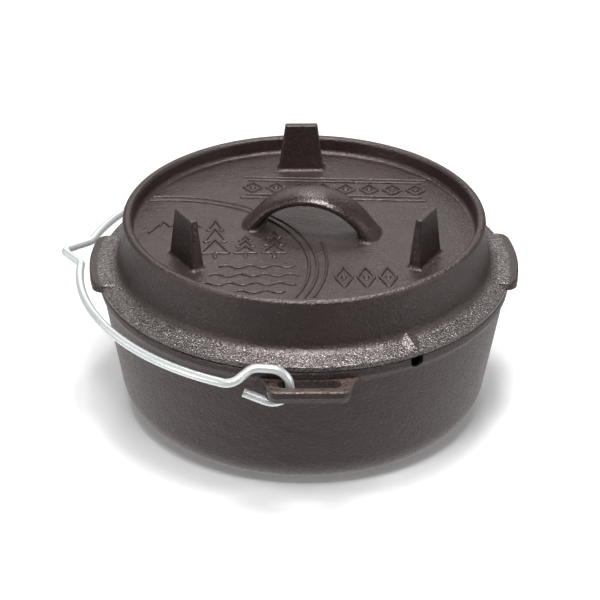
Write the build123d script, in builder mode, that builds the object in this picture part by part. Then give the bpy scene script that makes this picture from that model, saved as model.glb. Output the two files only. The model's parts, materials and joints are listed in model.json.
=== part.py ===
"""Cast iron dutch oven: a pot with two slotted ears, a lid with three legs, and a wire bail.

Millimetres and degrees. The origin is the centre of the pot's flat base, and +Z is up. The ears are
on -Y (front) and +Y (back), and the lid's two side lugs on -X and +X. The pot with its ears, and the
lid with its legs and handle, are two castings, and each named part of them is a solid of its own.
"""

import os
from math import atan2, cos, degrees, hypot, radians, sin, tan

from build123d import *

os.makedirs("parts", exist_ok=True)

# Driving dimensions of the pot
pot_height = 86.5
base_corner_radius = 23.0
base_outer_radius = 105.8        # where the wall's line meets the base plane
wall_draft = 9.5                 # degrees from the vertical
wall_thickness = 4.9
floor_thickness = 5.5
rim_radius = 120.8
rim_bead_height = 5.0
rim_blend_height = 3.6
rim_blend_round = 5.0
bead_round = 3.0
rim_round = 1.8
mouth_round = 1.2

# Ears, one in front and one behind
ear_top = 81.5
ear_thickness = 8.0
ear_reach = 133.6
ear_end_half_width = 21.8
ear_root_half_width = 25.6
ear_root = 100.0                 # how far in an ear's plan starts, before the pot is cut from it
ear_flare = 30.0                 # degrees, from the rim inwards
ear_draft = 22.0                 # degrees, on the lower half of the ear's edge
ear_corner_radius = 6.0
slot_centre = 125.1
slot_length = 35.2
slot_width = 8.2

# Thermometer notch in the pot's rim, under a raised channel in the lid's flange
probe_angle = -60.0
notch_width = 8.0
notch_depth = 7.0
notch_cut = 30.0                 # length of the cut, centred on the rim
groove_cut = (15.0, 9.0)         # the lid's groove above it: along the radius, and down

# Lid
seat_gap = 0.1
flange_radius = 121.0
flange_edge = 2.9
flange_slope = 17.0              # degrees from the horizontal
channel_height = 1.5
channel_side = 1.0               # wider than the notch on each side
channel_draft = 20.0             # degrees
channel_inset = 0.5              # its outer end, inside the flange's edge
skirt_foot_radius = 109.0
skirt_top_radius = 105.7
skirt_thickness = 4.6
lid_height = 35.6                # from the seat to the top of the skirt
deck_depth = 10.0
deck_thickness = 5.5
rim_width = 5.0
locating_ring_radius = 112.7
locating_ring_width = 6.0
locating_ring_depth = 3.0
deck_round = 2.5
rim_inner_round = 2.0
rim_outer_round = 2.4
skirt_foot_round = 6.0
flange_round = 0.9
seat_round = 0.5
ring_round = 1.0
underside_round = 8.0

# Side lugs of the lid
lug_reach = 126.2
lug_half_width = 31.0
lug_thickness = 5.0
lug_root_radius = 111.0          # inside the skirt's foot round
lug_corner_radius = 7.0

# Legs on the lid's deck
leg_count = 3
leg_circle = 78.5
leg_height = 29.5
leg_base = (27.5, 8.0)           # along the rim, across it
leg_tip = (19.5, 4.2)
leg_corner_radius = 1.2
leg_tip_rounding = 0.9

# Loop handle on the lid's deck
handle_angle = -12.8
handle_offset = 4.5
handle_half_span = 36.0
handle_rise = 21.5               # centreline above the deck
handle_slope = 50.0              # degrees at the feet
handle_width = 23.0
handle_thickness = 8.2
foot_fillet = 2.2                # where the legs and the handle meet the deck
foot_depth = 1.0                 # how deep their feet are set into the deck
leg_foot = (14.0, 34.0)          # across the rim, along it
handle_foot = (24.5, 44.0)       # from the handle's middle outwards
handle_foot_width = 30.0
edge_rounding = 0.8              # on the lugs and the ears
bevel = 45.0                     # degrees
overlap = 1.0                    # how far one feature is sunk into the next

# Bail
wire_diameter = 5.0
hook_x = 21.0                    # a hook's centre from the middle of its ear
hook_y = 123.4
hook_z = 79.9
hook_radius = 10.6
bail_plane = 4.8                 # the lying bail's plane above the hooks' axis
arc_radius = 130.2               # round the middle of the bail
arc_half_angle = 27.3
side_radius = 147.0              # towards the ears
arc_centre = -1.9
side_end_angle = 74.2            # where the side arc ends, from the middle of the bail
notch_reach = 11.7               # the V in the middle, beyond the arc
kink_angle = 8.0                 # where the V meets the arc
tip_radius = 4.5
kink_radius = 5.0
shoulder_run = 7.0               # straight run before the bend over the ear
shoulder_radius = 9.0
hump_reach = 10.0
tail_angle = 19.0                # degrees that the tail rises
tail_reach = 15.4
least_run = 0.1                  # straight wire left between two bends

# Derived values
wall_run = tan(radians(wall_draft))
deck_z = pot_height + seat_gap + lid_height - deck_depth
seat_z = pot_height + seat_gap
flange_top = seat_z + flange_edge
skirt_top = seat_z + lid_height
skirt_foot_z = flange_top + (flange_radius - skirt_foot_radius) * tan(radians(flange_slope))


def wall_radius(height):
    """Outer radius of the pot's straight wall."""
    return base_outer_radius + height * wall_run


def corner(sketch, x, y):
    """The vertex of an open sketch nearest to a point, in the sketch's own plane."""
    return sketch.vertices().sort_by_distance((x, y))[0]


def edges_at(part, height, reach_from, reach_to):
    """A part's edges that lie at one height, with their middles between two distances from Z."""
    level = part.edges().filter_by_position(Axis.Z, height - 0.01, height + 0.01)
    return level.filter_by(lambda edge: reach_from < hypot(edge.center().X, edge.center().Y) < reach_to)


def save(part, name):
    """Writes one named part as a STEP file."""
    part.part.label = name
    export_step(part.part, f"parts/{name}.step")


def revolved_profile(points, rounds):
    """A closed XZ profile with some of its corners rounded, for revolving about Z."""
    with BuildSketch(Plane.XZ) as profile:
        with BuildLine():
            Polyline(*points, close=True)
        make_face()
        for (x, z), radius in rounds:
            fillet(corner(profile, x, z), radius)
    return profile.sketch


# ---------------------------------------------------------------- pot

blend_z = pot_height - rim_bead_height - rim_blend_height
bead_z = pot_height - rim_bead_height
inner_rim_radius = wall_radius(bead_z) - wall_thickness
inner_base_radius = wall_radius(floor_thickness) - wall_thickness

pot_outline = [
    (0, 0),
    (base_outer_radius, 0),
    (wall_radius(blend_z), blend_z),
    (rim_radius, bead_z),
    (rim_radius, pot_height),
    (inner_rim_radius, pot_height),
    (inner_base_radius, floor_thickness),
    (0, floor_thickness),
]
pot_rounds = [
    ((base_outer_radius, 0), base_corner_radius),
    ((wall_radius(blend_z), blend_z), rim_blend_round),
    ((rim_radius, bead_z), bead_round),
    ((rim_radius, pot_height), rim_round),
    ((inner_rim_radius, pot_height), mouth_round),
    ((inner_base_radius, floor_thickness), base_corner_radius - wall_thickness),
]

with BuildPart() as pot:
    add(revolved_profile(pot_outline, pot_rounds))
    revolve(axis=Axis.Z)

    # Notch for a thermometer probe, round-bottomed, through the rim
    notch_plane = Plane.XZ.rotated((0, 0, probe_angle + 90)).offset(rim_radius - notch_cut / 2)
    with BuildSketch(notch_plane):
        with Locations((0, pot_height)):
            SlotOverall(2 * notch_depth, notch_width, rotation=90)
    extrude(amount=notch_cut, mode=Mode.SUBTRACT)

save(pot, "pot")

# The pot without its hollow, to cut the ears' roots to the wall
with BuildPart() as pot_core:
    add(revolved_profile(pot_outline[:5] + [(0, pot_height)], pot_rounds[:4]))
    revolve(axis=Axis.Z)

# Ears: a plate bevelled along its top edge and drafted over its lower half
ear_middle = ear_top - ear_thickness / 2
ear_root_end = ear_root_half_width + (rim_radius - ear_root) * tan(radians(ear_flare))
with BuildPart() as ear_front:
    for level, amount, taper in (
        (ear_top - edge_rounding, edge_rounding, bevel),
        (ear_middle, ear_thickness / 2 - edge_rounding, 0),
        (ear_middle, -ear_thickness / 2, ear_draft),
    ):
        with BuildSketch(Plane.XY.offset(level)) as ear_plan:
            with BuildLine():
                Polyline(
                    (-ear_root_end, -ear_root),
                    (-ear_root_half_width, -rim_radius),
                    (-ear_end_half_width, -ear_reach),
                    (ear_end_half_width, -ear_reach),
                    (ear_root_half_width, -rim_radius),
                    (ear_root_end, -ear_root),
                    close=True,
                )
            make_face()
            for x in (-ear_end_half_width, ear_end_half_width):
                fillet(corner(ear_plan, x, -ear_reach), ear_corner_radius)
        extrude(amount=amount, taper=taper)
    with BuildSketch(Plane.XY.offset(ear_top)):
        with Locations((0, -slot_centre)):
            SlotOverall(slot_length, slot_width)
    extrude(amount=-ear_thickness, mode=Mode.SUBTRACT)
    add(pot_core.part, mode=Mode.SUBTRACT)

with BuildPart() as ear_back:
    add(mirror(ear_front.part, about=Plane.XZ))

save(ear_front, "ear_front")
save(ear_back, "ear_back")

# ---------------------------------------------------------------- lid

deck_underside = deck_z - deck_thickness
skirt_lean = (skirt_foot_radius - skirt_top_radius) / (skirt_top - skirt_foot_z)
inner_top_radius = skirt_top_radius + (skirt_top - deck_underside) * skirt_lean - skirt_thickness
inner_foot_radius = skirt_foot_radius - skirt_thickness
rim_inner_radius = skirt_top_radius - rim_width
ring_bottom = seat_z - locating_ring_depth
ring_inner_radius = locating_ring_radius - locating_ring_width

lid_outline = [
    (0, deck_z),
    (rim_inner_radius, deck_z),
    (rim_inner_radius, skirt_top),
    (skirt_top_radius, skirt_top),
    (skirt_foot_radius, skirt_foot_z),
    (flange_radius, flange_top),
    (flange_radius, seat_z),
    (locating_ring_radius, seat_z),
    (locating_ring_radius, ring_bottom),
    (ring_inner_radius, ring_bottom),
    (inner_foot_radius, skirt_foot_z),
    (inner_top_radius, deck_underside),
    (0, deck_underside),
]
lid_rounds = [
    ((rim_inner_radius, deck_z), deck_round),
    ((rim_inner_radius, skirt_top), rim_inner_round),
    ((skirt_top_radius, skirt_top), rim_outer_round),
    ((skirt_foot_radius, skirt_foot_z), skirt_foot_round),
    ((flange_radius, flange_top), flange_round),
    ((flange_radius, seat_z), seat_round),
    ((locating_ring_radius, ring_bottom), ring_round),
    ((ring_inner_radius, ring_bottom), ring_round),
    ((inner_foot_radius, skirt_foot_z), underside_round),
    ((inner_top_radius, deck_underside), underside_round),
]

# The handle's centreline: two straight legs and a crown that is tangent to both
leg_rise = tan(radians(handle_slope))
end_depth = handle_thickness / 2 * cos(radians(handle_slope)) + least_run
handle_peak = handle_half_span * leg_rise
crown_drop = handle_peak - handle_rise
crown_radius = crown_drop / (1 / cos(radians(handle_slope)) - 1)
foot_reach = handle_half_span + end_depth / leg_rise

with BuildPart() as lid_casting:
    add(revolved_profile(lid_outline, lid_rounds))
    revolve(axis=Axis.Z)

    # Side lugs: flat tabs a little thicker than the flange's edge, rounded about the same centre
    lug_edge_z = seat_z + lug_thickness - edge_rounding
    with BuildSketch(Plane.XY.offset(lug_edge_z)) as lug_plan:
        Circle(lug_reach)
        Rectangle(2 * lug_reach, 2 * lug_half_width, mode=Mode.INTERSECT)
        Circle(lug_root_radius, mode=Mode.SUBTRACT)
        corner_x = (lug_reach**2 - lug_half_width**2) ** 0.5
        for x in (-corner_x, corner_x):
            for y in (-lug_half_width, lug_half_width):
                fillet(corner(lug_plan, x, y), lug_corner_radius)
    extrude(amount=seat_z - lug_edge_z)
    extrude(lug_plan.sketch, amount=edge_rounding, taper=bevel)

    # Channel for the thermometer probe: a raised rib on the flange, and a groove under it
    probe_plane = Plane.XZ.rotated((0, 0, probe_angle))
    with BuildSketch(probe_plane):
        with BuildLine():
            Polyline(
                (skirt_foot_radius - overlap, skirt_foot_z + 2 * channel_height),
                (flange_radius - channel_inset, flange_top + channel_height),
                (flange_radius - channel_inset, flange_top - overlap),
                (skirt_foot_radius - overlap, flange_top - overlap),
                close=True,
            )
        make_face()
    extrude(amount=notch_width / 2 + channel_side, both=True, taper=channel_draft)
    with BuildSketch(probe_plane):
        with Locations((locating_ring_radius, seat_z + channel_height)):
            Rectangle(*groove_cut, align=(Align.CENTER, Align.MAX))
    extrude(amount=notch_width / 2, both=True, mode=Mode.SUBTRACT)

    # Legs: drafted plates standing on the deck with their broad sides facing outwards
    for number in range(leg_count):
        turn = (0, 0, 90 + number * 360 / leg_count)
        for height, (along, across) in ((-overlap, leg_base), (leg_height, leg_tip)):
            with BuildSketch(Plane.XY.offset(deck_z + height).rotated(turn)):
                with Locations((leg_circle, 0)):
                    RectangleRounded(across, along, leg_corner_radius)
        loft()

    # Loop handle: an oval strap
    handle_plane = Plane.XZ.rotated((0, 0, handle_angle))
    with BuildLine(handle_plane) as handle_line:
        FilletPolyline(
            (handle_offset - foot_reach, deck_z - end_depth),
            (handle_offset, deck_z + handle_peak),
            (handle_offset + foot_reach, deck_z - end_depth),
            radius=crown_radius,
        )
    start = handle_line.line @ 0
    with BuildSketch(Plane(start, x_dir=handle_plane.z_dir, z_dir=handle_line.line % 0)):
        Ellipse(handle_width / 2, handle_thickness / 2)
    sweep(path=handle_line.line)

    fillet(edges_at(lid_casting, deck_z + leg_height, 0, flange_radius), leg_tip_rounding)
    fillet(edges_at(lid_casting, deck_z, overlap, leg_circle + leg_base[1]), foot_fillet)

# The casting is divided round the feet of the legs and the handle
with BuildPart() as lid:
    add(lid_casting.part)
    for leg_name, leg_angle in (("leg_back", 90), ("leg_left", 210), ("leg_right", 330)):
        with BuildPart() as leg:
            with BuildSketch(Plane.XY.offset(deck_z - foot_depth).rotated((0, 0, leg_angle))):
                with Locations((leg_circle, 0)):
                    Rectangle(*leg_foot)
            extrude(amount=foot_depth + leg_height + overlap)
            cut = leg.part
            add(lid_casting.part, mode=Mode.INTERSECT)
        save(leg, leg_name)
        add(cut, mode=Mode.SUBTRACT)

    with BuildPart() as handle:
        with BuildSketch(Plane.XY.offset(deck_z - foot_depth).rotated((0, 0, handle_angle))):
            for side in (-1, 1):
                with Locations((handle_offset + side * sum(handle_foot) / 2, 0)):
                    Rectangle(handle_foot[1] - handle_foot[0], handle_foot_width)
        extrude(amount=2 * foot_depth)
        with BuildSketch(Plane.XY.offset(deck_z + foot_depth).rotated((0, 0, handle_angle))):
            with Locations((handle_offset, 0)):
                Rectangle(2 * handle_foot[1], handle_foot_width)
        extrude(amount=leg_height)
        cut = handle.part
        add(lid_casting.part, mode=Mode.INTERSECT)
    save(handle, "handle")
    add(cut, mode=Mode.SUBTRACT)

save(lid, "lid")

# ---------------------------------------------------------------- bail

# The bail is shaped in its own frame: y runs along the line through its two hooks, z is measured
# from that line, and the bail lies on the -x side. Each half is described for y <= 0.
bail_turn = -degrees(atan2(hook_x, hook_y))
hook_span = hypot(hook_x, hook_y)
bail_frame = Plane.XY.offset(hook_z).rotated((0, 0, bail_turn))


def bail_point(x, y, z=bail_plane):
    """A point of the bail's frame in the model's frame."""
    return bail_frame.from_local_coords((x, y, z))


def arc_point(centre, radius, angle):
    """A point on an arc of the lying bail, the angle counted from the middle of the bail."""
    turn = radians(angle)
    return centre[0] - radius * cos(turn), centre[1] - radius * sin(turn)


main_centre = (arc_centre, 0)
kink_end = arc_point(main_centre, arc_radius, kink_angle)
main_end = arc_point(main_centre, arc_radius, arc_half_angle)
side_centre = arc_point(main_centre, arc_radius - side_radius, arc_half_angle)
side_end = arc_point(side_centre, side_radius, side_end_angle)
main_middle = arc_point(main_centre, arc_radius, (kink_angle + arc_half_angle) / 2)
side_middle = arc_point(side_centre, side_radius, (arc_half_angle + side_end_angle) / 2)

# The V: from the tip, square to the middle plane, a 45 degree side down to the arc's tangent
tip_x = arc_centre - arc_radius - notch_reach
tip_corner = (tip_x, -tip_radius * tan(radians(45 / 2)) - least_run / 2)
kink_run = (sum(kink_end) - sum(tip_corner)) / (sin(radians(kink_angle)) - cos(radians(kink_angle)))
kink_corner = (
    kink_end[0] - kink_run * sin(radians(kink_angle)),
    kink_end[1] + kink_run * cos(radians(kink_angle)),
)

# The end: over the ear, down through it and back under it
shoulder = (
    side_end[0] + shoulder_run * sin(radians(side_end_angle)),
    side_end[1] - shoulder_run * cos(radians(side_end_angle)),
)
bend_radius = hook_radius - least_run
tail_corner_z = -hook_radius * tan(radians((90 + tail_angle) / 2))
tail_z = tail_corner_z + (hook_radius + tail_reach) * tan(radians(tail_angle))

with BuildPart() as bail:
    with BuildLine() as half_wire:
        FilletPolyline(
            bail_point(tip_x, 0),
            bail_point(*tip_corner),
            bail_point(*kink_corner),
            bail_point(*kink_end),
            radius=[tip_radius, kink_radius],
        )
        ThreePointArc(bail_point(*kink_end), bail_point(*main_middle), bail_point(*main_end))
        ThreePointArc(bail_point(*main_end), bail_point(*side_middle), bail_point(*side_end))
        FilletPolyline(
            bail_point(*side_end),
            bail_point(*shoulder),
            bail_point(-hump_reach, -hook_span, hook_radius),
            bail_point(hook_radius, -hook_span, hook_radius),
            bail_point(hook_radius, -hook_span, tail_corner_z),
            bail_point(-tail_reach, -hook_span, tail_z),
            radius=[shoulder_radius, shoulder_radius, bend_radius, bend_radius],
        )
    with BuildSketch(Plane(half_wire.line @ 0, z_dir=half_wire.line % 0)):
        Circle(wire_diameter / 2)
    sweep(path=half_wire.line)
    mirror(about=Plane(bail_frame.origin, z_dir=bail_frame.y_dir))

save(bail, "bail")
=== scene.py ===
"""Visual model of a cast iron dutch oven: pot, lid with raised ornament, and wire bail.

Metres, in the CAD frame: the origin is the centre of the pot's base, +Z up, the front ear on -Y.
"""

import json
from math import atan2, ceil, cos, degrees, hypot, pi, radians, sin, sqrt

import bmesh
import bpy
from mathutils import Matrix, Vector


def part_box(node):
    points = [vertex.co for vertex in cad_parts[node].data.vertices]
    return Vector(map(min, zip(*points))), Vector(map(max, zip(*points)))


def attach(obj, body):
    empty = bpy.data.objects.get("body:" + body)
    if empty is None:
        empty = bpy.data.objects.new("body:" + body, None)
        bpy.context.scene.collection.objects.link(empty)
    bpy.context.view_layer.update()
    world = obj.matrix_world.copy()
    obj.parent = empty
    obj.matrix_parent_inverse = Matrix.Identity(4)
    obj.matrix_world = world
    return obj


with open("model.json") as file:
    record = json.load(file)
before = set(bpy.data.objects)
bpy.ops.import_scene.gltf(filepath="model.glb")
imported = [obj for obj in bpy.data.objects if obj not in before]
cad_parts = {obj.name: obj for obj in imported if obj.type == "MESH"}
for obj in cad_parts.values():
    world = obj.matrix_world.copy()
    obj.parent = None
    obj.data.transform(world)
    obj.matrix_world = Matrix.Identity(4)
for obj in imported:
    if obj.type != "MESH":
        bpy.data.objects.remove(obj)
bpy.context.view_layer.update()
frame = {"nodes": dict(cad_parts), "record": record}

MM = 0.001

# ---------------------------------------------------------------- places on the object

DECK_DEPTH = 10.0 * MM           # the deck lies this far below the lid's rim
DECK_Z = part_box("lid")[1].z - DECK_DEPTH
EAR_TOP_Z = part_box("ear_front")[1].z
# The lid's flange: what looks different on it comes in, or goes, between each pair
FLANGE_START = (0.1085, 0.113)   # radii
FLANGE_EDGE = (0.1205, 0.1225)   # radii. The side lugs stand out past it
FLANGE_TOP_Z = (0.0925, 0.0965)

# ---------------------------------------------------------------- camera

CAMERA_DISTANCE = 1.2428
CAMERA_HEIGHT = 0.7700
CAMERA_TURN = -1.6               # degrees about Z, from the axis through the ears
CAMERA_YAW = 0.10
CAMERA_PITCH = 29.62
CAMERA_ROLL = 0.39
LENS = 144.0
SENSOR = 36.0


def make_camera():
    data = bpy.data.cameras.new("camera")
    data.lens = LENS
    data.sensor_width = SENSOR
    data.clip_start = 0.05
    data.clip_end = 50.0
    camera = bpy.data.objects.new("camera", data)
    place = Matrix.Rotation(radians(CAMERA_TURN), 4, "Z") @ Vector((0, -CAMERA_DISTANCE, CAMERA_HEIGHT))
    turn = (
        Matrix.Rotation(radians(CAMERA_TURN + CAMERA_YAW), 4, "Z")
        @ Matrix.Rotation(radians(90 - CAMERA_PITCH), 4, "X")
        @ Matrix.Rotation(radians(CAMERA_ROLL), 4, "Z")
    )
    camera.matrix_world = Matrix.Translation(place) @ turn
    bpy.context.scene.collection.objects.link(camera)
    bpy.context.scene.camera = camera


# ---------------------------------------------------------------- material nodes

# The colour sockets of a Mix node, which has others by the same names
MIX_A = 6
MIX_B = 7
MIX_RESULT = 2


class Graph:
    """A material's node tree, with short calls for its nodes."""

    def __init__(self, name):
        self.material = bpy.data.materials.new(name)
        self.material.use_nodes = True
        self.tree = self.material.node_tree
        self.tree.nodes.clear()
        self.shader = self.tree.nodes.new("ShaderNodeBsdfPrincipled")
        output = self.tree.nodes.new("ShaderNodeOutputMaterial")
        self.tree.links.new(self.shader.outputs["BSDF"], output.inputs["Surface"])

    def set(self, socket, value):
        """Links a node's output to a socket, or sets the socket to a constant."""
        if isinstance(value, bpy.types.NodeSocket):
            self.tree.links.new(value, socket)
        else:
            socket.default_value = value

    def math(self, operation, *values, clamp=False):
        node = self.tree.nodes.new("ShaderNodeMath")
        node.operation = operation
        node.use_clamp = clamp
        for socket, value in zip(node.inputs, values):
            self.set(socket, value)
        return node.outputs[0]

    def add_scaled(self, value, factor, base, clamp=False):
        """base + factor * value"""
        return self.math("MULTIPLY_ADD", value, factor, base, clamp=clamp)

    def both(self, a, b):
        """1 where both masks are 1."""
        return self.math("MULTIPLY", a, b)

    def rise(self, value, low, high):
        """0 below low, 1 above high, smooth between them."""
        node = self.tree.nodes.new("ShaderNodeMapRange")
        node.interpolation_type = "SMOOTHSTEP"
        self.set(node.inputs["Value"], value)
        node.inputs["From Min"].default_value = low
        node.inputs["From Max"].default_value = high
        return node.outputs["Result"]

    def fall(self, value, low, high):
        """1 below low, 0 above high, smooth between them."""
        return self.math("SUBTRACT", 1.0, self.rise(value, low, high))

    def place(self):
        return self.tree.nodes.new("ShaderNodeTexCoord").outputs["Object"]

    def coordinates(self):
        split = self.tree.nodes.new("ShaderNodeSeparateXYZ")
        self.tree.links.new(self.place(), split.inputs[0])
        return split.outputs

    def radius(self):
        """Distance from the oven's upright axis."""
        x, y, _ = self.coordinates()
        squares = self.math("ADD", self.math("MULTIPLY", x, x), self.math("MULTIPLY", y, y))
        return self.math("SQRT", squares)

    def level(self):
        """Height above the pot's base."""
        return self.coordinates()["Z"]

    def noise(self, size, detail=2.0, roughness=0.5):
        """Noise with features of about that size in metres."""
        node = self.tree.nodes.new("ShaderNodeTexNoise")
        self.set(node.inputs["Vector"], self.place())
        node.inputs["Scale"].default_value = 1 / size
        node.inputs["Detail"].default_value = detail
        node.inputs["Roughness"].default_value = roughness
        return node.outputs["Fac"]

    def cells(self, size):
        """(distance to the nearest point, random value of the cell) for cells of that size."""
        node = self.tree.nodes.new("ShaderNodeTexVoronoi")
        self.set(node.inputs["Vector"], self.place())
        node.inputs["Scale"].default_value = 1 / size
        split = self.tree.nodes.new("ShaderNodeSeparateColor")
        self.tree.links.new(node.outputs["Color"], split.inputs["Color"])
        return node.outputs["Distance"], split.outputs[0]

    def mix(self, factor, a, b):
        """Colour a where factor is 0, b where it is 1."""
        node = self.tree.nodes.new("ShaderNodeMix")
        node.data_type = "RGBA"
        self.set(node.inputs["Factor"], factor)
        self.set(node.inputs[MIX_A], a)
        self.set(node.inputs[MIX_B], b)
        return node.outputs[MIX_RESULT]

    def bump(self, height):
        """height is in metres."""
        node = self.tree.nodes.new("ShaderNodeBump")
        node.inputs["Strength"].default_value = 1.0
        node.inputs["Distance"].default_value = 1.0
        self.set(node.inputs["Height"], height)
        return node.outputs["Normal"]


# ---------------------------------------------------------------- cast iron

IRON_DARK = (0.013, 0.0075, 0.007, 1)      # seasoning in the hollows of the grain
IRON_LIGHT = (0.034, 0.021, 0.0195, 1)     # and on its tops
# Pale flecks painted into the colour as glints
IRON_PAINTED_GLINT = (0.15, 0.12, 0.11, 1)          # scattered flecks
IRON_BARE = (0.33, 0.31, 0.30, 1)          # glints of metal on the flange
IRON_RUBBED_LIT = (0.10, 0.070, 0.058, 1)      # where the seasoning is rubbed thin, and a painted highlight on the ears' tops
IRON_GLOSS = (1.0, 0.88, 0.87, 1)          # tints its reflections
IRON_METALLIC = 0.15
GLINT_METALLIC = 0.75                      # added in the flange's glints
IRON_IOR = 1.8

# What the iron's shade between dark and light is made up of
SHADE_BASE = -1.35
SHADE_FINE = 1.6
SHADE_SAND = 1.2
SHADE_PATCHES = 0.9

# How large the grain's features are, and how high they stand, in metres
FINE_SIZE = 0.00095
FINE_HEIGHT = 0.00032
SAND_SIZE = 0.0018
SAND_HEIGHT = 0.00045
LUMP_SIZE = 0.011
LUMP_HEIGHT = 0.00060
PIT_SIZE = 0.0011
PIT_HEIGHT = 0.0003
PATCH_SIZE = 0.035
FLECK_SIZE = 0.0011

# The iron's roughness, and what each feature adds to it
IRON_ROUGHNESS = 0.25
PATCH_ROUGHNESS = 0.10
FINE_ROUGHNESS = 0.18
HANDLED_ROUGHNESS = -0.11
COARSE_ROUGHNESS = -0.16
FLECK_ROUGHNESS = -0.12

# Where a feature shows: the values of a noise, or of a cell, that its mask rises or falls between
FINE_SHOWS = (0.40, 0.60)
FLECK_CHANCE = (0.955, 0.975)
FLECK_EDGE = (0.15, 0.42)
GLINT_SHOWS = (0.42, 0.66)
RUBBED_LIT_SHOWS = (0.30, 0.55)

# The loop handle is smoothed by use
HANDLED_FROM = 3 * MM                      # starts this far above the deck
HANDLED_BLEND = 0.006                      # and is complete this much higher
HANDLED_RELIEF = -0.55                     # what it takes off the grain's height, as a share

# How far below a top the rubbing and its painted highlight start, and where they are complete
RUBBED_LIT_START = 0.0012
RUBBED_LIT_FULL = 0.0004


def cast_iron(name, coarse_flange=False, smooth_above=None, rubbed_lit_top=None):
    """Seasoned sand-cast iron.

    The grain can be coarser and barer on the lid's flange. The iron can be smoother above a
    height, and in the last millimetre below a top it can be paler: seasoning rubbed thin, with
    a painted highlight.
    """
    g = Graph(name)
    fine = g.noise(FINE_SIZE, detail=3.0, roughness=0.65)
    sand = g.noise(SAND_SIZE)
    lumps = g.noise(LUMP_SIZE)
    patches = g.noise(PATCH_SIZE, detail=3.0)
    distance, chance = g.cells(FLECK_SIZE)
    # Painted glints: a few pale flecks mixed into the colour, which are also a little smoother
    glint_fleck = g.both(g.rise(chance, *FLECK_CHANCE), g.fall(distance, *FLECK_EDGE))

    rough = g.add_scaled(patches, PATCH_ROUGHNESS, IRON_ROUGHNESS)
    rough = g.add_scaled(g.rise(fine, *FINE_SHOWS), FINE_ROUGHNESS, rough)
    height = g.math("MULTIPLY", fine, FINE_HEIGHT)
    height = g.add_scaled(sand, SAND_HEIGHT, height)
    height = g.add_scaled(lumps, LUMP_HEIGHT, height)
    shade = g.add_scaled(fine, SHADE_FINE, SHADE_BASE)
    shade = g.add_scaled(sand, SHADE_SAND, shade)
    shade = g.add_scaled(patches, SHADE_PATCHES, shade, clamp=True)
    colour = g.mix(shade, IRON_DARK, IRON_LIGHT)
    metallic = IRON_METALLIC

    if smooth_above:
        smooth = g.rise(g.level(), smooth_above, smooth_above + HANDLED_BLEND)
        rough = g.add_scaled(smooth, HANDLED_ROUGHNESS, rough)
        height = g.math("MULTIPLY", height, g.add_scaled(smooth, HANDLED_RELIEF, 1.0))
    if coarse_flange:
        outside = g.rise(g.radius(), *FLANGE_START)
        below = g.fall(g.level(), *FLANGE_TOP_Z)
        coarse = g.both(g.both(outside, below), g.fall(g.radius(), *FLANGE_EDGE))
        pits = g.noise(PIT_SIZE, detail=3.0, roughness=0.7)
        height = g.add_scaled(g.both(coarse, pits), PIT_HEIGHT, height)
        rough = g.add_scaled(coarse, COARSE_ROUGHNESS, rough)
        glint = g.both(coarse, g.rise(pits, *GLINT_SHOWS))
        colour = g.mix(glint, colour, IRON_BARE)
        metallic = g.add_scaled(glint, GLINT_METALLIC, IRON_METALLIC)
    # Painted highlight: the last millimetre below the top made paler, along with seasoning rubbed thin
    if rubbed_lit_top:
        rubbed_lit = g.rise(g.level(), rubbed_lit_top - RUBBED_LIT_START, rubbed_lit_top - RUBBED_LIT_FULL)
        colour = g.mix(g.both(rubbed_lit, g.rise(sand, *RUBBED_LIT_SHOWS)), colour, IRON_RUBBED_LIT)

    g.set(g.shader.inputs["Base Color"], g.mix(glint_fleck, colour, IRON_PAINTED_GLINT))
    g.set(g.shader.inputs["Roughness"], g.add_scaled(glint_fleck, FLECK_ROUGHNESS, rough))
    g.set(g.shader.inputs["Metallic"], metallic)
    g.set(g.shader.inputs["Normal"], g.bump(height))
    g.shader.inputs["IOR"].default_value = IRON_IOR
    g.shader.inputs["Specular Tint"].default_value = IRON_GLOSS
    return g.material


# ---------------------------------------------------------------- galvanised wire

WIRE_GREY = (0.76, 0.79, 0.80, 1)
WIRE_PALE = (0.86, 0.88, 0.88, 1)
WIRE_METALLIC = 0.6
WIRE_ROUGHNESS = 0.22
WIRE_STREAK_ROUGHNESS = 0.08
WIRE_STREAK_SIZE = 0.006
WIRE_GRAIN_SIZE = 0.0009
WIRE_GRAIN_HEIGHT = 0.000003


def galvanised_wire(name):
    g = Graph(name)
    grain = g.noise(WIRE_GRAIN_SIZE, detail=3.0)
    streaks = g.noise(WIRE_STREAK_SIZE, detail=3.0, roughness=0.6)
    g.set(g.shader.inputs["Base Color"], g.mix(streaks, WIRE_GREY, WIRE_PALE))
    g.set(g.shader.inputs["Roughness"], g.add_scaled(streaks, WIRE_STREAK_ROUGHNESS, WIRE_ROUGHNESS))
    g.set(g.shader.inputs["Normal"], g.bump(g.math("MULTIPLY", grain, WIRE_GRAIN_HEIGHT)))
    g.shader.inputs["Metallic"].default_value = WIRE_METALLIC
    return g.material


def dress(node, material):
    """Puts one material on a CAD node."""
    if node.data.materials:
        for number in range(len(node.data.materials)):
            node.data.materials[number] = material
    else:
        node.data.materials.append(material)


# ---------------------------------------------------------------- drawing in relief

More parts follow.
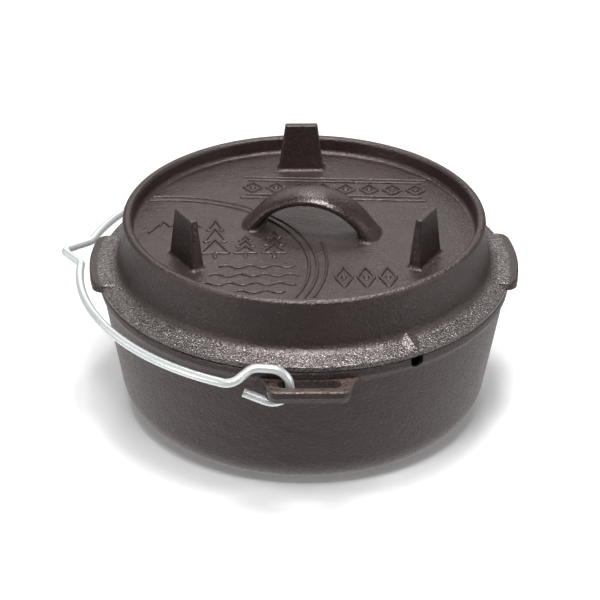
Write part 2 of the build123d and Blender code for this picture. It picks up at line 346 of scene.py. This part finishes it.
# The ornament's plan and its heights above the deck are in millimetres
LINE_WIDTH = 2.0
LINE_HEIGHT = 0.85
LINE_ROOT = 0.3                  # how deep a line is sunk into the deck
LINE_TIP = 0.12                  # the least share of its size that its rounded end has
PROFILE_STEPS = 8                # across a line's rounded top
ARC_SPACING = 1.0
END_MARKS = [0, 0.08, 0.25, 0.55]    # how far from an end the points are that round it off
PLATEAU_INSET = 0.7
PLATEAU_LEAST = 0.05             # a corner keeps this share of its distance from the middle
PLATEAU_LEVELS = (
    # height, how far the outline is drawn in
    (-LINE_ROOT, 0.0),
    (0.15, 0.0),
    (LINE_HEIGHT * 0.8, PLATEAU_INSET * 0.7),
    (LINE_HEIGHT, PLATEAU_INSET * 1.4),
)


def deck_vertex(bm, x, y, z):
    """A vertex at a plan point in millimetres, z above the deck."""
    return bm.verts.new((x * MM, y * MM, DECK_Z + z * MM))


def stroke(bm, points, width=LINE_WIDTH):
    """A raised line with a rounded section and rounded ends, along plan points."""
    path = [Vector(p) for p in points]
    last = len(path) - 1
    runs = [path[min(i + 1, last)] - path[max(i - 1, 0)] for i in range(len(path))]
    lengths = [0.0]
    for a, b in zip(path, path[1:]):
        lengths.append(lengths[-1] + (b - a).length)
    rings = []
    for point, run, length in zip(path, runs, lengths):
        side = Vector((-run.y, run.x)).normalized()
        end = min(length, lengths[-1] - length) / (width / 2)
        size = max(LINE_TIP, sqrt(max(0.0, 1 - max(0.0, 1 - end) ** 2)))
        ring = []
        for step in range(PROFILE_STEPS + 1):
            angle = pi * step / PROFILE_STEPS
            across = side * (-width / 2 * cos(angle) * size)
            ring.append((point.x + across.x, point.y + across.y, LINE_HEIGHT * sin(angle) * size))
        foot = side * (width / 2 * size)
        ring.append((point.x + foot.x, point.y + foot.y, -LINE_ROOT))
        ring.append((point.x - foot.x, point.y - foot.y, -LINE_ROOT))
        rings.append([deck_vertex(bm, *corner) for corner in ring])
    for a, b in zip(rings, rings[1:]):
        for k in range(len(a)):
            m = (k + 1) % len(a)
            bm.faces.new((a[k], b[k], b[m], a[m]))
    bm.faces.new(rings[0])
    bm.faces.new(reversed(rings[-1]))


def line(bm, a, b, width=LINE_WIDTH):
    """A straight raised line."""
    a = Vector(a)
    b = Vector(b)
    length = (b - a).length
    places = [m for m in END_MARKS + [1.0] if m < length / 2]
    places = places + [length - m for m in reversed(places)]
    stroke(bm, [a.lerp(b, place / length) for place in places], width)


def chain(bm, points, width=LINE_WIDTH):
    """Straight raised lines from each point to the next."""
    for a, b in zip(points, points[1:]):
        line(bm, a, b, width)


def arc(centre, radius, start, end):
    """Plan points on an arc, angles in degrees."""
    total = abs(end - start) * pi / 180 * radius
    count = max(6, ceil(total / ARC_SPACING))
    marks = END_MARKS + [total * i / count for i in range(1, count)]
    marks = marks + [total - m for m in reversed(END_MARKS)]
    turn = radians(end - start) / total
    points = []
    for mark in sorted(set(marks)):
        angle = radians(start) + turn * mark
        points.append((centre[0] + radius * cos(angle), centre[1] + radius * sin(angle)))
    return points


def plateau(bm, outline):
    """A raised flat-topped shape with sloping sides, from a convex plan outline."""
    middle = sum((Vector(p) for p in outline), Vector((0, 0))) / len(outline)
    levels = []
    for z, inset in PLATEAU_LEVELS:
        ring = []
        for p in outline:
            away = Vector(p) - middle
            q = middle + away * max(PLATEAU_LEAST, 1 - inset / away.length)
            ring.append(deck_vertex(bm, q.x, q.y, z))
        levels.append(ring)
    for low, high in zip(levels, levels[1:]):
        for i in range(len(low)):
            j = (i + 1) % len(low)
            bm.faces.new((low[i], low[j], high[j], high[i]))
    bm.faces.new(levels[-1])
    bm.faces.new(reversed(levels[0]))


def ornament(name, draw, material):
    """One named piece of the lid's ornament, drawn by a function that fills a bmesh."""
    bm = bmesh.new()
    draw(bm)
    bmesh.ops.recalc_face_normals(bm, faces=bm.faces)
    mesh = bpy.data.meshes.new(name)
    bm.to_mesh(mesh)
    bm.free()
    for polygon in mesh.polygons:
        polygon.use_smooth = True
    piece = bpy.data.objects.new(name, mesh)
    bpy.context.scene.collection.objects.link(piece)
    mesh.materials.append(material)
    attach(piece, "lid")


# ---------------------------------------------------------------- the lid's ornament

DECK_REACH = 98.6                # where the deck's edge rounds up into the rim
RING_CENTRE = (-80.0, -46.0)
RING_RADII = (86.4, 81.8)
RING_WIDTH = 2.1
SHORE_CENTRE = (-97.5, -40.0)
SHORE_RADIUS = 109.5
SHORE_ANGLES = (-23, 12)
SHORE_WIDTH = 1.8


def ring_limits(centre, radius, reach):
    """The angles, about centre, between which a circle lies within the deck."""
    far = hypot(*centre)
    swing = (far**2 + radius**2 - reach**2) / (2 * far * radius)
    half = degrees(atan2(sqrt(1 - swing**2), swing))
    toward = degrees(atan2(-centre[1], -centre[0]))
    return toward - half, toward + half


def draw_rings(bm):
    for radius in RING_RADII:
        limits = ring_limits(RING_CENTRE, radius, DECK_REACH)
        stroke(bm, arc(RING_CENTRE, radius, *limits), width=RING_WIDTH)
    stroke(bm, arc(SHORE_CENTRE, SHORE_RADIUS, *SHORE_ANGLES), width=SHORE_WIDTH)


PINE_FOOT = -36                  # where the trunks stand, along Y
PINES = (
    # x, top, half the width of its lowest branches
    (-52, 10, 8.5),
    (-34.5, -10, 7),
    (-18, -4, 7.5),
)
PINE_TIERS = 3
PINE_OVERLAP = 1.25              # a tier's height, over the step from one tier to the next
PINE_TRUNK = 5                   # height of the trunk below the branches
PINE_TRUNK_WIDTH = 2.6
PINE_TAPER = 0.22                # how much narrower each tier is
PINE_GAP = 0.45                  # half the gap in the foot of an upper tier, over half its width
PINE_LIFT = 0.4                  # how much that foot rises towards the trunk


def draw_pines(bm):
    for x, top, half in PINES:
        branches = PINE_FOOT + PINE_TRUNK
        tall = top - branches
        for tier in range(PINE_TIERS):
            low = branches + tall * tier / PINE_TIERS
            high = low + tall / PINE_TIERS * PINE_OVERLAP if tier < PINE_TIERS - 1 else top
            wide = half * (1 - PINE_TAPER * tier)
            inner = wide * PINE_GAP if tier else 0.0
            for side in (-1, 1):
                line(bm, (x, high), (x + side * wide, low))
            for side in (-1, 1):
                line(bm, (x + side * wide, low), (x + side * inner, low + PINE_LIFT))
        line(bm, (x, PINE_FOOT - 1), (x, branches), width=PINE_TRUNK_WIDTH)


HILL_RIDGE = [(-91, -6), (-83, 9), (-78, 2), (-70, 17), (-60, 0)]
HILL_CREASES = (
    [(-70, 17), (-72, 8), (-68.5, 5)],
    [(-83, 9), (-84.5, 2)],
)
CREASE_WIDTH = 1.5


def draw_hills(bm):
    chain(bm, HILL_RIDGE)
    for crease in HILL_CREASES:
        chain(bm, crease, width=CREASE_WIDTH)


WAVES = (
    # y, left end, right end
    (-47, -50, -6),
    (-57, -56, -4),
    (-67, -62, -6),
    (-76, -50, -12),
)
WAVE_HEIGHT = 1.5
WAVE_LENGTH = 14
WAVE_SPACING = 0.8
WAVE_WIDTH = 1.8


def draw_water(bm):
    for y, left, right in WAVES:
        count = int((right - left) / WAVE_SPACING)
        points = []
        for i in range(count + 1):
            x = left + (right - left) * i / count
            points.append((x, y + WAVE_HEIGHT * sin(x * 2 * pi / WAVE_LENGTH + y)))
        stroke(bm, points, width=WAVE_WIDTH)


BAND_LEFT = (-36.0, 66.0)        # the upper line's ends
BAND_RIGHT = (76.0, 60.0)
BAND_DEPTH = 27.0
BAND_GAP = 4.2                   # between a line of the band and the thinner one inside it
BAND_LINES = (
    # down, start and end along, width
    (0, 0, 1, 2.1),
    (BAND_GAP, 0.03, 0.97, 1.4),
    (BAND_DEPTH - BAND_GAP, 0.03, 0.97, 1.4),
    (BAND_DEPTH, 0, 1, 2.1),
)
DIAMONDS = 8
# Half the length, as a share of the band's, and half the height
DIAMOND = (0.42 / DIAMONDS, 6.2)
DIAMOND_CORE = (DIAMOND[0] * 0.36, 2.4)
DIAMOND_WIDTH = 1.8              # of its lines


def band_point(along, down):
    """A plan point in the band: along from 0 to 1, down in millimetres below its upper line."""
    left = Vector(BAND_LEFT)
    right = Vector(BAND_RIGHT)
    run = (right - left).normalized()
    p = left.lerp(right, along) + Vector((run.y, -run.x)) * down
    return p.x, p.y


def band_diamond(centre, half_length, half_height):
    """The corners of a diamond half way down the band."""
    middle = BAND_DEPTH / 2
    return [
        band_point(centre - half_length, middle),
        band_point(centre, middle + half_height),
        band_point(centre + half_length, middle),
        band_point(centre, middle - half_height),
    ]


def draw_band(bm):
    for down, start, end, width in BAND_LINES:
        line(bm, band_point(start, down), band_point(end, down), width)
    for number in range(DIAMONDS):
        centre = (number + 0.5) / DIAMONDS
        corners = band_diamond(centre, *DIAMOND)
        chain(bm, corners + corners[:1], width=DIAMOND_WIDTH)
        plateau(bm, band_diamond(centre, *DIAMOND_CORE))


LOZENGE_Y = -60.0
LOZENGE_XS = (21.0, 33.5, 46.0)
# Half the width, and half the height
LOZENGE = (5, 11.5)
LOZENGE_CORE = (2, 4.8)


def lozenge(x, half_width, half_height):
    return [
        (x - half_width, LOZENGE_Y),
        (x, LOZENGE_Y - half_height),
        (x + half_width, LOZENGE_Y),
        (x, LOZENGE_Y + half_height),
    ]


def draw_lozenges(bm):
    for x in LOZENGE_XS:
        corners = lozenge(x, *LOZENGE)
        chain(bm, corners + corners[:1])
        plateau(bm, lozenge(x, *LOZENGE_CORE))


ORNAMENTS = (
    ("ornament_rings", draw_rings),
    ("ornament_pines", draw_pines),
    ("ornament_hills", draw_hills),
    ("ornament_water", draw_water),
    ("ornament_band", draw_band),
    ("ornament_lozenges", draw_lozenges),
)

# ---------------------------------------------------------------- surroundings

LIGHTS = (
    # name, place, what it points at, size, watts
    ("key", (0.10, -0.08, 1.6), (0, -0.08, 0.08), (0.36, 0.36), 17),
    ("top_front", (-0.1, -0.70, 1.45), (0, 0, 0.08), (0.5, 0.4), 16),
    ("top_back", (0.0, 0.95, 1.3), (0, 0, 0.08), (0.5, 0.3), 4),
    ("left", (-1.6, 0.1, 0.6), (0, 0, 0.05), (0.9, 1.0), 2),
    ("right", (1.6, 0.1, 0.6), (0, 0, 0.05), (0.9, 1.0), 3),
    ("left_front", (-1.6, -0.9, 0.45), (0, 0, 0.05), (0.6, 0.9), 6),
    ("right_front", (1.6, -0.9, 0.45), (0, 0, 0.05), (0.6, 0.9), 5),
    ("back", (0, 2.4, 1.3), (0, 0, 0.05), (3.0, 1.4), 10),
)


def soft_light(name, place, target, size, power):
    data = bpy.data.lights.new(name, "AREA")
    data.shape = "RECTANGLE"
    data.size = size[0]
    data.size_y = size[1]
    data.energy = power
    light = bpy.data.objects.new(name, data)
    light.location = place
    light.rotation_euler = (Vector(target) - Vector(place)).to_track_quat("-Z", "Y").to_euler()
    bpy.context.scene.collection.objects.link(light)


FLOOR_REACH = 6.0
FLOOR_Z = -0.0003                # just clear of the pot's base
FLOOR_WHITE = (0.88, 0.88, 0.89, 1)
FLOOR_ROUGHNESS = 0.35
FLOOR_GLOW = 0.12


def make_floor():
    """A pale floor that glows faintly, and that the object doesn't mirror."""
    bm = bmesh.new()
    bmesh.ops.create_grid(bm, x_segments=1, y_segments=1, size=FLOOR_REACH)
    mesh = bpy.data.meshes.new("floor")
    bm.to_mesh(mesh)
    bm.free()
    floor = bpy.data.objects.new("floor", mesh)
    floor.location.z = FLOOR_Z
    bpy.context.scene.collection.objects.link(floor)
    g = Graph("floor_white")
    g.shader.inputs["Base Color"].default_value = FLOOR_WHITE
    g.shader.inputs["Roughness"].default_value = FLOOR_ROUGHNESS
    g.shader.inputs["Emission Color"].default_value = (1, 1, 1, 1)
    g.shader.inputs["Emission Strength"].default_value = FLOOR_GLOW
    mesh.materials.append(g.material)
    floor.visible_glossy = False


# Sine of the elevation, and the strength of the sky there
SKY = ((-1.0, 0.70), (-0.6, 0.66), (-0.35, 0.38), (0.0, 0.15), (0.3, 0.14), (1.0, 0.10))
# Direction along Y, and what the strength is multiplied by: -1 is straight to the front
SKY_FRONT = (-1.0, 0.55)
SKY_BACK = (0.2, 1.5)


def make_world():
    """White where it is looked at. It lights the object by height, and more from the back."""
    world = bpy.data.worlds.new("studio")
    bpy.context.scene.world = world
    world.use_nodes = True
    tree = world.node_tree
    direction = tree.nodes.new("ShaderNodeTexCoord").outputs["Generated"]
    split = tree.nodes.new("ShaderNodeSeparateXYZ")
    tree.links.new(direction, split.inputs[0])

    place = tree.nodes.new("ShaderNodeMapRange")
    place.inputs["From Min"].default_value = -1.0
    tree.links.new(split.outputs["Z"], place.inputs["Value"])
    ramp = tree.nodes.new("ShaderNodeValToRGB")
    tree.links.new(place.outputs["Result"], ramp.inputs["Fac"])
    stops = ramp.color_ramp.elements
    while len(stops) < len(SKY):
        stops.new(0.5)
    for stop, (height, strength) in zip(stops, SKY):
        stop.position = (height + 1) / 2
        stop.color = (strength, strength, strength, 1)

    front = tree.nodes.new("ShaderNodeMapRange")
    front.inputs["From Min"].default_value = SKY_FRONT[0]
    front.inputs["To Min"].default_value = SKY_FRONT[1]
    front.inputs["From Max"].default_value = SKY_BACK[0]
    front.inputs["To Max"].default_value = SKY_BACK[1]
    tree.links.new(split.outputs["Y"], front.inputs["Value"])
    shaded = tree.nodes.new("ShaderNodeVectorMath")
    shaded.operation = "SCALE"
    tree.links.new(ramp.outputs["Color"], shaded.inputs[0])
    tree.links.new(front.outputs["Result"], shaded.inputs["Scale"])

    seen = tree.nodes.new("ShaderNodeMix")
    seen.data_type = "RGBA"
    camera_ray = tree.nodes.new("ShaderNodeLightPath").outputs["Is Camera Ray"]
    tree.links.new(camera_ray, seen.inputs["Factor"])
    tree.links.new(shaded.outputs["Vector"], seen.inputs[MIX_A])
    seen.inputs[MIX_B].default_value = (1, 1, 1, 1)
    tree.links.new(seen.outputs[MIX_RESULT], tree.nodes["Background"].inputs["Color"])


def main():
    make_camera()
    lid_iron = cast_iron("lid_iron", coarse_flange=True)
    finishes = {
        "pot_iron": cast_iron("pot_iron"),
        "lid_iron": lid_iron,
        "bail_wire": galvanised_wire("bail_wire"),
    }
    for part in frame["record"]["subparts"]:
        dress(frame["nodes"][part["node"]], finishes[part["material_slot"]])
    dress(frame["nodes"]["handle"], cast_iron("handle_iron", smooth_above=DECK_Z + HANDLED_FROM))
    # The ears' tops get seasoning rubbed thin and a painted highlight
    ear_iron_lit_top = cast_iron("ear_iron_lit_top", rubbed_lit_top=EAR_TOP_Z)
    for ear in ("ear_front", "ear_back"):
        dress(frame["nodes"][ear], ear_iron_lit_top)
    for name, draw in ORNAMENTS:
        ornament(name, draw, lid_iron)
    make_floor()
    make_world()
    for light in LIGHTS:
        soft_light(*light)
    bpy.context.scene.view_settings.view_transform = "Standard"


main()
